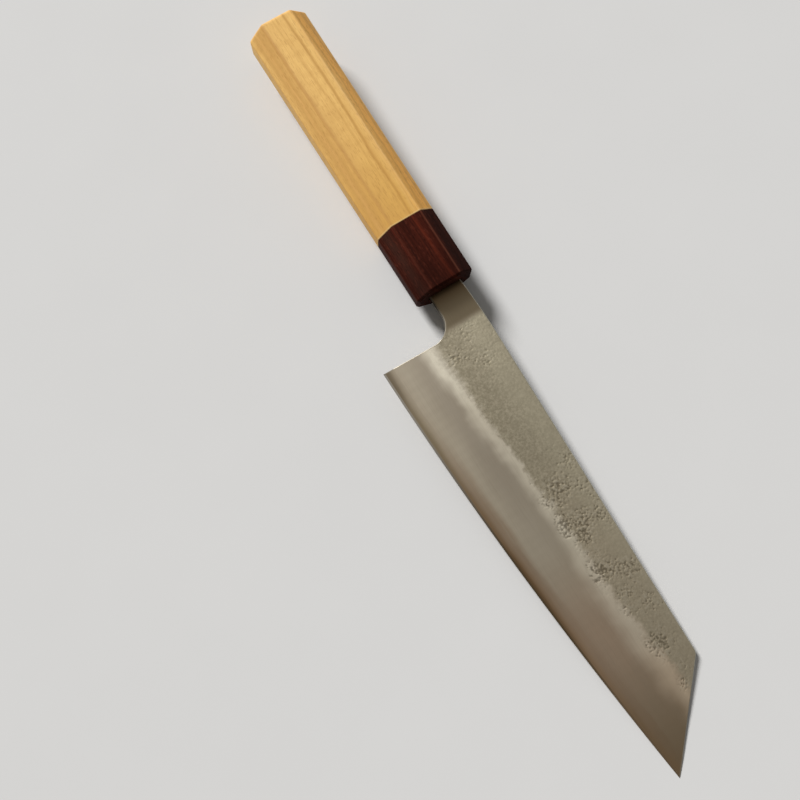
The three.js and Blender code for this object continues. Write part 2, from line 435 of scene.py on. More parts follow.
def make_cladding(name, side, clusters):
    """The soft layer on one face, from the core's flat out to the ground face. side is 1 right, -1 left."""
    end_x = tip_of(core_line)
    bevel_steps = [RIDGE_ROWS_FROM * step for step in steps(BEVEL_ROWS)]
    bevel_steps += [lerp(RIDGE_ROWS_FROM, 1, step) for step in steps(RIDGE_ROWS)]
    skin_steps = [SPINE_ROWS_FROM * step for step in steps(SKIN_ROWS)]
    skin_steps += [lerp(SPINE_ROWS_FROM, 1, math.sin(0.5 * math.pi * step)) for step in steps(SPINE_ROWS)]
    skin_steps.append(1)
    flat_z = in_frame(0, 0, side * CORE_HALF).z

    def face(x, y):
        return side * outer_face(x, y)

    bm = bmesh.new()
    columns = blade_columns(core_line, end_x, FACE_SPACING, bevel_steps, skin_steps)
    grid = add_sheet(bm, columns, face)
    for column in grid:
        if column[0]:
            column[0].co.z = flat_z
    bm.faces.ensure_lookup_table()
    loop = rim_loop(bm.faces)
    foot = {}
    for vert in loop:
        below = vert.co.copy()
        below.z = flat_z
        foot[vert] = vert if (below - vert.co).length < SAME_PLACE * MM else bm.verts.new(below)
    for vert, after in zip(loop, loop[1:] + loop[:1]):
        corners = list(dict.fromkeys([after, vert, foot[vert], foot[after]]))
        if len(corners) > 2:
            bm.faces.new(corners)
    flat = bm.faces.new([foot[vert] for vert in reversed(loop)])
    bmesh.ops.triangulate(bm, faces=[flat])
    note_surface(bm, clusters)
    return mesh_object(name, bm)


def make_core(name):
    """The hard layer: flat between the claddings, ground down to the cutting edge below them."""
    def face(x, y):
        return min(half_at(x, y), CORE_HALF)

    def back(x, y):
        return -face(x, y)

    bm = bmesh.new()
    bare_share = CORE_BARE_HEIGHT / (CHOIL_Y - edge_at(HEEL_X))
    bevel_steps = [bare_share * step for step in CORE_BARE_ROWS]
    bevel_steps += [lerp(bare_share, 1, step) for step in steps(CORE_BEVEL_ROWS)]
    skin_steps = steps(CORE_SKIN_ROWS) + [1]
    columns = blade_columns(edge_at, tip_of(edge_at), CORE_SPACING, bevel_steps, skin_steps)
    right = add_sheet(bm, columns, face)
    right_loop = rim_loop(bm.faces)
    left = add_sheet(bm, columns, back)
    twin = {}
    for right_column, left_column in zip(right, left):
        twin.update(zip(right_column, left_column))
    for vert, after in zip(right_loop, right_loop[1:] + right_loop[:1]):
        bm.faces.new([after, vert, twin[vert], twin[after]])
    note_surface(bm, PIT_CLUSTERS)
    return mesh_object(name, bm)


# Node trees

class Graph:
    """Adds nodes to one tree. A value is a socket or a plain number, vector or name."""

    def __init__(self, tree):
        self.tree = tree

    def feed(self, socket, value):
        if isinstance(value, bpy.types.NodeSocket):
            self.tree.links.new(value, socket)
        else:
            socket.default_value = value

    def feed_row(self, sockets, values):
        for socket, value in zip(sockets, values):
            self.feed(socket, value)

    def feed_named(self, sockets, values):
        for name, value in values.items():
            self.feed(sockets[name], value)

    def node(self, kind, values=None, **settings):
        made = self.tree.nodes.new(kind)
        for name, value in settings.items():
            setattr(made, name, value)
        self.feed_named(made.inputs, values or {})
        return made

    def add(self, kind, values=None, **settings):
        """Adds a node and gives its first output."""
        return self.node(kind, values, **settings).outputs[0]

    def math(self, operation, *values, kind="ShaderNodeMath"):
        made = self.node(kind, operation=operation)
        self.feed_row(made.inputs, values)
        return made.outputs[0]

    def vector(self, operation, *values):
        return self.math(operation, *values, kind="ShaderNodeVectorMath")

    def plus(self, a, b):
        return self.math("ADD", a, b)

    def minus(self, a, b):
        return self.math("SUBTRACT", a, b)

    def times(self, a, b):
        return self.math("MULTIPLY", a, b)

    def sway(self, value, noise, amount):
        """Moves a value up and down with a noise, by at most half the amount."""
        return self.math("MULTIPLY_ADD", self.minus(noise, 0.5), amount, value)

    def ramp(self, value, low, high, to_low=0.0, to_high=1.0):
        values = {"Value": value, "From Min": low, "From Max": high, "To Min": to_low, "To Max": to_high}
        return self.add("ShaderNodeMapRange", values, interpolation_type="SMOOTHSTEP")

    def mix(self, share, a, b):
        made = self.node("ShaderNodeMix", data_type="FLOAT")
        self.feed_row(made.inputs[0:1] + made.inputs[2:4], (share, a, b))
        return made.outputs[0]

    def blend(self, share, a, b):
        made = self.node("ShaderNodeMix", data_type="RGBA")
        self.feed_row(made.inputs[0:1] + made.inputs[6:8], (share, a, b))
        return made.outputs[2]

    def tint(self, share, a, b):
        """Blends two tones. A tone is a socket, or red, green and blue from 0 to 255."""
        tones = [tone if isinstance(tone, bpy.types.NodeSocket) else linear_colour(*tone) for tone in (a, b)]
        return self.blend(share, *tones)

    def wash(self, base, tone, value, low, high, share=1.0):
        """Tints a colour more and more as a value goes from low to high, up to a share."""
        return self.tint(self.ramp(value, low, high, 0.0, share), base, tone)

    def dab(self, base, tone, mask, share):
        """Tints a colour where a mask is set."""
        return self.tint(self.times(mask, share), base, tone)

    def noise(self, place, scale=1.0, detail=2.0, roughness=0.5, seed=0.0):
        values = {"Vector": place, "W": seed, "Scale": scale, "Detail": detail, "Roughness": roughness}
        return self.add("ShaderNodeTexNoise", values, noise_dimensions="4D")

    def drawn_noise(self, place, along, across, **settings):
        """Noise drawn out lengthwise: how fine it is along the knife and across it."""
        return self.noise(self.vector("MULTIPLY", place, (along, across, across)), **settings)

    def split(self, place):
        return self.node("ShaderNodeSeparateXYZ", {"Vector": place}).outputs

    def join(self, x, y, z):
        return self.add("ShaderNodeCombineXYZ", {"X": x, "Y": y, "Z": z})


def new_tree(name, kind, inputs, outputs):
    tree = bpy.data.node_groups.new(name, kind)
    for in_out, sockets in (("INPUT", inputs), ("OUTPUT", outputs)):
        for label, socket_type in sockets:
            tree.interface.new_socket(label, in_out=in_out, socket_type=f"NodeSocket{socket_type}")
    graph = Graph(tree)
    return graph, graph.node("NodeGroupInput").outputs, graph.node("NodeGroupOutput").inputs


def floats(*labels):
    return [(label, "Float") for label in labels]


def new_shape_tree(name, sizes, places=()):
    inputs = [("Geometry", "Geometry"), ("Finish", "Material")]
    inputs += floats(*sizes) + [(label, "Vector") for label in places]
    return new_tree(name, "GeometryNodeTree", inputs, [("Geometry", "Geometry")])


def end_shape_tree(graph, shape, finish, result):
    whole = graph.add("GeometryNodeRealizeInstances", {"Geometry": shape})
    finished = graph.add("GeometryNodeSetMaterial", {"Geometry": whole, "Material": finish})
    graph.feed(result["Geometry"], finished)
    return graph


def keep_result(made):
    """Keeps what an object's modifiers make as its own plain mesh."""
    evaluated = made.evaluated_get(bpy.context.evaluated_depsgraph_get())
    mesh = bpy.data.meshes.new_from_object(evaluated)
    made.modifiers.clear()
    made.data = mesh


def run_tree(made, graph, values):
    """Runs a tree on an object, with its inputs set by identifier."""
    modifier = made.modifiers.new(graph.tree.name, "NODES")
    modifier.node_group = graph.tree
    for item in graph.tree.interface.items_tree:
        if item.item_type == "SOCKET" and item.in_out == "INPUT" and item.name in values:
            modifier[item.identifier] = values[item.name]
    keep_result(made)


def pear_skin_tree():
    """Sinks the forging pits and grain into the upper face, and notes where it is pitted or worn bright."""
    sizes = ["Pit Size", "Pit Depth", "Grain Depth", "Skin From X", "Seed"]
    graph, given, result = new_shape_tree("pear_skin", sizes)
    position = graph.add("GeometryNodeInputPosition")
    x = graph.split(position)[0]

    def noted(name):
        return graph.add("GeometryNodeInputNamedAttribute", {"Name": name}, data_type="FLOAT")

    def along_skin(near, far, to_low=0.0, to_high=1.0):
        """A ramp between two distances, in millimetres, from where the skin starts."""
        start = given["Skin From X"]
        return graph.ramp(x, graph.plus(start, near * MM), graph.plus(start, far * MM), to_low, to_high)

    # Specks sink where they pass a threshold, which is lower where pits crowd
    size = given["Pit Size"]
    fine = graph.vector("DIVIDE", position, graph.join(size, size, size))
    blotch = graph.noise(fine, scale=0.14, seed=given["Seed"])
    speck = graph.noise(fine, roughness=0.55, seed=given["Seed"])
    crowd = graph.sway(noted("pitting"), blotch, 0.9)
    threshold = graph.ramp(crowd, 0.0, 1.0, 0.68, 0.42)
    pits = graph.ramp(speck, threshold, graph.plus(threshold, 0.18))
    worn = graph.times(graph.ramp(speck, 0.36, 0.46, 1.0, 0.0), graph.ramp(crowd, 0.1, 0.7))

    # The skin lies above a ragged line, in front of the neck and clear of the rims
    ragged = graph.sway(noted("above_skin_line"), blotch, 6.0)
    ragged = graph.math("MULTIPLY_ADD", noted("pitting"), 2.2, ragged)
    skin = graph.times(graph.ramp(ragged, -3.2, -0.6), along_skin(0, 3))
    skin = graph.times(skin, graph.minus(1.0, noted("rim")))
    pits = graph.times(pits, skin)
    worn = graph.times(worn, skin)

    # The grain is coarser where pits crowd and near the heel
    heel = graph.times(along_skin(10, 32, 1.0, 0.0), graph.ramp(blotch, 0.36, 0.6, 0.25, 1.1))
    embossed = graph.math("MAXIMUM", graph.ramp(crowd, -0.1, 0.6, 0.15, 1.0), heel)
    coarse = graph.times(embossed, given["Grain Depth"])
    grain = graph.times(graph.times(speck, skin), coarse)
    depth = graph.math("MULTIPLY_ADD", pits, given["Pit Depth"], grain)

    marked = given["Geometry"]
    for name, value in (("pits", pits), ("worn", worn)):
        marked = graph.add("GeometryNodeStoreNamedAttribute",
                           {"Geometry": marked, "Name": name, "Value": value},
                           data_type="FLOAT", domain="POINT")
    normal = graph.add("GeometryNodeInputNormal")
    offset = graph.add("ShaderNodeVectorMath", {"Vector": normal, "Scale": graph.times(depth, -1.0)},
                       operation="SCALE")
    sunk = graph.add("GeometryNodeSetPosition", {"Geometry": marked, "Offset": offset})
    return end_shape_tree(graph, sunk, given["Finish"], result)


def tapered_octagon_tree():
    """A handle piece: an octagon swept along the knife's axis, tapered, chamfered at its ends and bored."""
    measures = ("X", "Height", "Width", "Chamfer")
    sizes = [f"{end} {measure}" for end in ("Rear", "Front") for measure in measures]
    sizes += ["Corner", "Softness", "Bore Radius", "Bore From", "Bore To"]
    graph, given, result = new_shape_tree("tapered_octagon", sizes, ["Axis"])
    rear, front = given["Rear X"], given["Front X"]

    # An octagon with eased corners, swept straight
    rail = graph.add("GeometryNodeCurvePrimitiveLine",
                     {"Start": graph.join(rear, 0.0, 0.0), "End": graph.join(front, 0.0, 0.0)})
    rail = graph.add("GeometryNodeResampleCurve", {"Curve": rail, "Count": HANDLE_STATIONS})
    profile = graph.add("GeometryNodeCurvePrimitiveQuadrilateral",
                        {"Width": given["Rear Height"], "Height": given["Rear Width"]})
    for count, radius in ((1, given["Corner"]), (EASED_POINTS, given["Softness"])):
        values = {"Curve": profile, "Count": count, "Radius": radius}
        profile = graph.add("GeometryNodeFilletCurve", values, mode="POLY")
    swept = graph.add("GeometryNodeCurveToMesh", {"Curve": rail, "Profile Curve": profile, "Fill Caps": True})

    # Stations crowd towards both ends, where the chamfers are
    x, y, z = graph.split(graph.add("GeometryNodeInputPosition"))
    share = graph.add("ShaderNodeMapRange", {"Value": x, "From Min": rear, "From Max": front})
    turn = graph.math("COSINE", graph.times(share, math.pi))
    eased = graph.math("MULTIPLY_ADD", turn, -0.5, 0.5)
    new_x = graph.mix(eased, rear, front)
    at_rear = graph.minus(given["Rear Chamfer"], graph.minus(new_x, rear))
    at_front = graph.minus(given["Front Chamfer"], graph.minus(front, new_x))
    inset = graph.plus(graph.math("MAXIMUM", at_rear, 0.0), graph.math("MAXIMUM", at_front, 0.0))

    def tapered(coordinate, measure):
        start = given[f"Rear {measure}"]
        size = graph.mix(eased, start, given[f"Front {measure}"])
        kept = graph.minus(size, graph.times(inset, 2.0))
        return graph.times(coordinate, graph.math("DIVIDE", kept, start))

    new_place = graph.join(new_x, tapered(y, "Height"), tapered(z, "Width"))
    shaped = graph.add("GeometryNodeSetPosition", {"Geometry": swept, "Position": new_place})

    # The dowel's bore
    depth = graph.minus(given["Bore To"], given["Bore From"])
    middle = graph.times(graph.plus(given["Bore To"], given["Bore From"]), 0.5)
    values = {"Vertices": BORE_SIDES, "Radius": given["Bore Radius"], "Depth": depth}
    drill = graph.add("GeometryNodeMeshCylinder", values)
    lengthwise = (0.0, 0.5 * math.pi, 0.0)
    values = {"Geometry": drill, "Translation": graph.join(middle, 0.0, 0.0), "Rotation": lengthwise}
    drill = graph.add("GeometryNodeTransform", values)
    bored = graph.add("GeometryNodeMeshBoolean", {"Mesh 1": shaped, "Mesh 2": drill},
                      operation="DIFFERENCE", solver="EXACT")
    placed = graph.add("GeometryNodeTransform", {"Geometry": bored, "Translation": given["Axis"]})
    return end_shape_tree(graph, placed, given["Finish"], result)


def cut_box(made, low, high):
    """Cuts a square opening, given by two corners in the knife's axes, into a piece."""
    bm = bmesh.new()
    bmesh.ops.create_cube(bm, size=1)
    bmesh.ops.scale(bm, vec=(high - low) * MM, verts=bm.verts)
    bmesh.ops.translate(bm, vec=in_frame(*((low + high) / 2)), verts=bm.verts)
    cutter = mesh_object("cutter", bm)
    modifier = made.modifiers.new("opening", "BOOLEAN")
    modifier.operation = "DIFFERENCE"
    modifier.solver = "EXACT"
    modifier.object = cutter
    keep_result(made)
    bpy.data.objects.remove(cutter)


def finish_all_over(made, finish):
    """Gives every face the one finish, the walls of cut openings too."""
    made.data.materials.clear()
    made.data.materials.append(finish)
    made.data.polygons.foreach_set("material_index", [0] * len(made.data.polygons))


# Shared finishes

def linear_colour(red, green, blue):
    """An sRGB colour, 0 to 255, as the linear colour that a shader takes."""
    def linear(part):
        part /= 255
        return part / 12.92 if part <= 0.04045 else ((part + 0.055) / 1.055) ** 2.4
    return (linear(red), linear(green), linear(blue), 1.0)


def in_millimetres_group():
    """Object coordinates as millimetres in the knife's own axes."""
    inputs = [("Object Place", "Vector")]
    graph, given, result = new_tree("in_millimetres", "ShaderNodeTree", inputs, [("Place", "Vector")])
    moved = graph.vector("SUBTRACT", given["Object Place"], tuple(ORIGIN))
    graph.feed(result["Place"], graph.vector("MULTIPLY", moved, (1 / MM, 1 / MM, 1 / MM)))
    return graph.tree


def wood_figure_group():
    """Growth bands, fibre and pores of straight-grained wood along the handle."""
    inputs = [("Place", "Vector")] + floats("Band Spacing", "Wander", "Waviness", "Slant", "Seed")
    outputs = floats("Across", "Bands", "Clouds", "Ripple", "Fibre", "Pores", "Flecks")
    graph, given, result = new_tree("wood_figure", "ShaderNodeTree", inputs, outputs)
    seed = given["Seed"]
    x, y, z = graph.split(given["Place"])

    def drawn(along, across, **settings):
        return graph.drawn_noise(given["Place"], along, across, seed=seed, **settings)

    # Across is the place across the growth layers, which slant and wander
    across = graph.math("MULTIPLY_ADD", z, given["Slant"], y)
    across = graph.sway(across, drawn(0.014, 0.05), given["Wander"])
    across = graph.sway(across, drawn(0.06, 0.11, detail=1.0), given["Waviness"])
    layer = graph.math("DIVIDE", across, given["Band Spacing"])
    layers = graph.join(graph.times(x, 0.004), layer, 0.0)
    graph.feed_named(result, {
        "Across": across,
        "Bands": graph.noise(layers, detail=3.0, roughness=0.62, seed=seed),
        "Clouds": drawn(0.025, 0.13),
        "Ripple": drawn(0.22, 0.12, detail=3.0, roughness=0.6),
        "Fibre": drawn(0.09, 2.2, detail=3.0, roughness=0.6),
        "Pores": graph.ramp(drawn(0.35, 3.4, detail=1.0), 0.58, 0.68),
        "Flecks": graph.ramp(drawn(0.45, 1.3, roughness=0.6), 0.54, 0.66),
    })
    return graph.tree


def wood_streak_group():
    """One growth layer that shows as a streak: its place across at the butt, and its drift forwards."""
    inputs = floats("Along", "Across", "Start", "Drift", "Half Width")
    graph, given, result = new_tree("wood_streak", "ShaderNodeTree", inputs, floats("Streak"))
    from_butt = graph.minus(given["Along"], BUTT_X)
    centre = graph.math("MULTIPLY_ADD", from_butt, given["Drift"], given["Start"])
    distance = graph.math("ABSOLUTE", graph.minus(given["Across"], centre))
    graph.feed(result["Streak"], graph.ramp(distance, 0.0, given["Half Width"], 1.0, 0.0))
    return graph.tree


def octagon_corners_group():
    """How near a place on the handle is to one of the octagon's long corners."""
    inputs = [("Place", "Vector")] + floats("Width")
    graph, given, result = new_tree("octagon_corners", "ShaderNodeTree", inputs, floats("Corners"))
    x, y, z = graph.split(given["Place"])

    def half(at_joint, slope):
        return graph.math("MULTIPLY_ADD", x, slope, at_joint - slope * JOINT_X)

    from_side = graph.minus(half(collar_high.y, HEIGHT_SLOPE), graph.math("ABSOLUTE", y))
    from_top = graph.minus(half(collar_high.z, WIDTH_SLOPE), graph.math("ABSOLUTE", z))
    both = graph.minus(graph.plus(from_side, from_top), CORNER)
    from_slant = graph.math("ABSOLUTE", graph.times(both, math.sqrt(0.5)))
    second = graph.math("MAXIMUM", graph.math("MINIMUM", from_side, from_top), from_slant)
    graph.feed(result["Corners"], graph.ramp(second, 0.0, given["Width"], 1.0, 0.0))
    return graph.tree


def steel_finish_group():
    """Fine scratches along the blade, and the soft clouding that stones leave on steel."""
    inputs = [("Place", "Vector")] + floats("Scratch Size", "Seed")
    outputs = floats("Scratches", "Clouding", "Grain")
    graph, given, result = new_tree("steel_finish", "ShaderNodeTree", inputs, outputs)
    place = given["Place"]
    seed = given["Seed"]
    size = given["Scratch Size"]
    graph.feed_named(result, {
        "Scratches": graph.drawn_noise(place, 0.05, 2.6, scale=size, detail=3.0, roughness=0.7, seed=seed),
        "Clouding": graph.drawn_noise(place, 0.05, 0.16, detail=3.0, roughness=0.55, seed=seed),
        "Grain": graph.noise(place, scale=1.3, detail=2.5, roughness=0.6, seed=seed),
    })
    return graph.tree


def ground_steel_with_painted_falloff_group():
    """The ground bevel's tone: duller up to the band, with a painted light fall-off that darkens it towards
    the point, stained low down.
    """
    inputs = floats("Along", "Height", "Clouding")
    graph, given, result = new_tree("ground_steel_with_painted_falloff", "ShaderNodeTree", inputs, [("Tone", "Color")])
    along = given["Along"]
    height = given["Height"]
    heel = graph.ramp(along, 18.0, 50.0, 0.5, 0.0)
    tone = graph.tint(heel, (206, 194, 172), (190, 179, 160))
    dull = graph.times(graph.ramp(height, 6.0, 15.0), graph.ramp(along, 60.0, 125.0, 1.0, 0.0))
    tone = graph.tint(dull, tone, (187, 175, 156))
    tone = graph.wash(tone, (198, 175, 150), along, 100.0, 140.0)
    # Painted light fall-off: darker towards the point
    tone = graph.wash(tone, (156, 136, 108), along, 140.0, 196.0)
    tone = graph.wash(tone, (170, 156, 135), given["Clouding"], 0.3, 0.7, 0.2)
    low = graph.ramp(graph.sway(height, given["Clouding"], 5.0), 3.6, 7.6, 1.0, 0.0)
    stain = graph.plus(graph.ramp(along, 30.0, 85.0, 0.1, 0.6), graph.ramp(along, 108.0, 138.0, 0.0, -0.35))
    graph.feed(result["Tone"], graph.dab(tone, (154, 122, 92), stain, low))
    return graph.tree


IN_MILLIMETRES = in_millimetres_group()
WOOD_FIGURE = wood_figure_group()
WOOD_STREAK = wood_streak_group()
OCTAGON_CORNERS = octagon_corners_group()
STEEL_FINISH = steel_finish_group()
GROUND_STEEL_WITH_PAINTED_FALLOFF = ground_steel_with_painted_falloff_group()


def use(graph, group, values):
    return graph.node("ShaderNodeGroup", values, node_tree=group).outputs


def new_material(name, settings):
    """A material with a Principled shader, and its place in millimetres."""
    made = bpy.data.materials.new(name)
    made.use_nodes = True
    made.node_tree.nodes.clear()
    graph = Graph(made.node_tree)
    shader = graph.node("ShaderNodeBsdfPrincipled", settings)
    graph.node("ShaderNodeOutputMaterial", {"Surface": shader.outputs[0]})
    coordinates = graph.node("ShaderNodeTexCoord").outputs["Object"]
    place = use(graph, IN_MILLIMETRES, {"Object Place": coordinates})["Place"]
    return made, graph, shader.inputs, place


def noted(graph, name):
    return graph.node("ShaderNodeAttribute", attribute_name=name).outputs["Fac"]


def finish_shader(graph, shader, base, roughness, relief, strength, distance):
    """Feeds a shader its colour, its roughness and a relief, whose depth is in millimetres."""
    values = {"Height": relief, "Strength": strength, "Distance": distance * MM}
    normal = graph.add("ShaderNodeBump", values)
    graph.feed_named(shader, {"Base Color": base, "Roughness": roughness, "Normal": normal})


def wood_figure(graph, place, spacing, wander, waviness, slant, seed):
    return use(graph, WOOD_FIGURE, {"Place": place, "Band Spacing": spacing, "Wander": wander,
                                    "Waviness": waviness, "Slant": slant, "Seed": seed})


def streaked(graph, base, along, across, streaks):
    """Draws streaks over a wood's colour: start, drift, half width, strength and tone of each."""
    for start, drift, half_width, strength, tone in streaks:
        streak = use(graph, WOOD_STREAK, {"Along": along, "Across": across, "Start": start,
                                          "Drift": drift, "Half Width": half_width})["Streak"]
        base = graph.dab(base, tone, streak, strength)
    return base


def wood_relief(graph, figure):
    return graph.minus(figure["Fibre"], graph.times(figure["Pores"], 0.8))


def pale_wood_material():
    made, graph, shader, place = new_material("pale_wood", {"Specular IOR Level": 0.18})
    figure = wood_figure(graph, place, spacing=2.6, wander=3.0, waviness=1.8, slant=0.3, seed=3.0)
    along, height, _ = graph.split(place)
    corners = use(graph, OCTAGON_CORNERS, {"Place": place, "Width": 0.6})["Corners"]

    # Painted light fall-off: lighter at the butt and deeper in tone towards the ferrule. Then clouded and
    # streaked
    base = graph.wash((240, 195, 117), (216, 167, 84), along, BUTT_X + 35, JOINT_X + 8)
    base = graph.wash(base, (206, 158, 88), figure["Clouds"], 0.35, 0.7, 0.3)
    base = graph.wash(base, (204, 156, 84), figure["Ripple"], 0.42, 0.66, 0.25)
    # Painted light and shade among the streaks: the broad darker one at -7.6 over the left bevel is painted
    # shade, and the broad orange one at 12.0 over the right bevel is painted light
    streaks = [(-4.2, 0.012, 1.5, 0.5, (184, 136, 74)), (-5.0, 0.05, 4.0, 0.2, (184, 136, 74)),
               (-9.5, 0.02, 1.2, 0.3, (190, 142, 74)), (1.5, 0.03, 0.8, 0.3, (190, 142, 74)),
               (-7.6, 0.0, 5.5, 0.72, (192, 144, 80)), (-7.9, 0.0, 1.4, 0.27, (240, 190, 114)),
               (5.9, 0.0, 1.0, 0.65, (180, 130, 62)), (8.4, 0.0, 1.5, 0.4, (238, 194, 122)),
               (12.0, 0.0, 4.5, 0.8, (244, 179, 86)), (10.8, 0.0, 0.5, 0.35, (156, 104, 48)),
               (12.8, 0.0, 0.5, 0.3, (156, 104, 48)), (13.4, 0.0, 1.6, 0.4, (196, 148, 82))]
    base = streaked(graph, base, along, figure["Across"], streaks)
    base = graph.wash(base, (190, 138, 70), figure["Bands"], 0.54, 0.74, 0.5)
    base = graph.wash(base, (200, 152, 82), figure["Fibre"], 0.3, 0.7, 0.35)
    base = graph.dab(base, (160, 110, 52), figure["Pores"], 0.35)
    base = graph.dab(base, (150, 100, 46), figure["Flecks"], graph.ramp(height, 6.0, 7.5, 0.08, 0.3))

    # Corners: a painted highlight, pale towards the spine, and darker below. The ends: a painted highlight at
    # the joint, and pale at the butt
    corner_highlight_tone = graph.wash((186, 136, 70), (252, 230, 188), height, -2.0, 2.0)
    worn = graph.plus(graph.ramp(height, -2.0, 2.0, 0.35, 0.1), graph.ramp(height, 9.0, 12.0, 0.0, 0.45))
    base = graph.dab(base, corner_highlight_tone, corners, worn)
    base = graph.wash(base, (250, 218, 158), along, JOINT_X - 0.8, JOINT_X - 0.3, 0.4)
    butt = graph.ramp(along, BUTT_X + 0.4, BUTT_X + 1.1, 0.6, 0.0)
    base = graph.tint(butt, base, (204, 170, 122))
    rough = graph.ramp(figure["Fibre"], 0.2, 0.8, 0.5, 0.64)
    finish_shader(graph, shader, base, rough, wood_relief(graph, figure), strength=0.25, distance=0.06)
    return made


def dark_wood_material():
    settings = {"Specular IOR Level": 0.02, "Specular Tint": (1.0, 0.5, 0.4, 1.0)}
    made, graph, shader, place = new_material("dark_wood", settings)
    figure = wood_figure(graph, place, spacing=1.1, wander=4.0, waviness=1.6, slant=0.5, seed=7.0)
    along, height, _ = graph.split(place)
    corners = use(graph, OCTAGON_CORNERS, {"Place": place, "Width": 0.42})["Corners"]

    # Red-brown bands and streaks under dark fibres and pores
    base = graph.wash((47, 21, 16), (67, 29, 20), figure["Bands"], 0.4, 0.62)
    base = graph.wash(base, (80, 33, 23), figure["Clouds"], 0.5, 0.75, 0.5)
    # The broad grey-brown streak at -5.5 over the left bevel is a painted reflection, a grey sheen
    streaks = [(8.2, 0.0, 1.1, 0.3, (112, 46, 28)), (-1.5, 0.0, 0.7, 0.3, (94, 38, 27)),
               (2.6, 0.0, 1.0, 0.5, (32, 13, 10)), (-5.5, 0.0, 4.5, 0.5, (60, 41, 34)),
               (10.6, 0.0, 1.6, 0.4, (32, 13, 10))]
    base = streaked(graph, base, along, figure["Across"], streaks)
    base = graph.wash(base, (26, 11, 9), figure["Fibre"], 0.5, 0.8, 0.55)
    base = graph.dab(base, (18, 8, 7), figure["Pores"], 0.6)
    base = graph.dab(base, (94, 46, 34), figure["Flecks"], 0.4)

    # Painted shade on the spine's side, darker at the front, and painted highlights along the corners
    base = graph.wash(base, (22, 8, 5), height, 5.5, 10.5, 0.5)
    base = graph.wash(base, (34, 14, 10), along, -19.0, -4.0, 0.42)
    base = graph.dab(base, (128, 78, 60), corners, graph.ramp(height, 3.0, 5.0, 0.08, 0.3))
    rough = graph.ramp(figure["Fibre"], 0.2, 0.8, 0.48, 0.62)
    finish_shader(graph, shader, base, rough, wood_relief(graph, figure), strength=0.2, distance=0.05)
    return made


def dowel_wood_material():
    made, graph, shader, place = new_material("dowel_wood", {})
    figure = wood_figure(graph, place, spacing=2.0, wander=3.0, waviness=1.0, slant=0.2, seed=11.0)
    base = graph.wash((206, 176, 128), (176, 140, 92), figure["Bands"], 0.4, 0.7)
    base = graph.dab(base, (140, 104, 62), figure["Pores"], 0.4)
    rough = graph.ramp(figure["Fibre"], 0.2, 0.8, 0.62, 0.78)
    finish_shader(graph, shader, base, rough, figure["Fibre"], strength=0.3, distance=0.08)
    return made


def resin_material():
    made, graph, shader, place = new_material("bedding_resin", {"Specular IOR Level": 0.01})
    mottle = graph.noise(place, scale=0.9, detail=3.0, roughness=0.6, seed=5.0)
    base = graph.tint(mottle, (40, 28, 20), (58, 40, 28))
    rough = graph.ramp(mottle, 0.3, 0.7, 0.38, 0.56)
    finish_shader(graph, shader, base, rough, mottle, strength=0.3, distance=0.1)
    return made


STEEL_SETTINGS = {"Metallic": 1.0, "Specular Tint": (0.0, 0.11, 0.24, 1.0)}


def ground_steel_with_painted_falloff(graph, along, height, finish):
    values = {"Along": along, "Height": height, "Clouding": finish["Clouding"]}
    return use(graph, GROUND_STEEL_WITH_PAINTED_FALLOFF, values)["Tone"]


def steel_rim_with_painted_shade(graph, place, heel_tone, spine_tone):
    """The rim's tone: painted shade under the neck, then the heel's tone, and the spine's tone above."""
    along, height, _ = graph.split(place)
    below = graph.wash((104, 93, 76), heel_tone, along, 3.0, 12.0)
    return graph.wash(below, spine_tone, height, -6.0, 0.0)


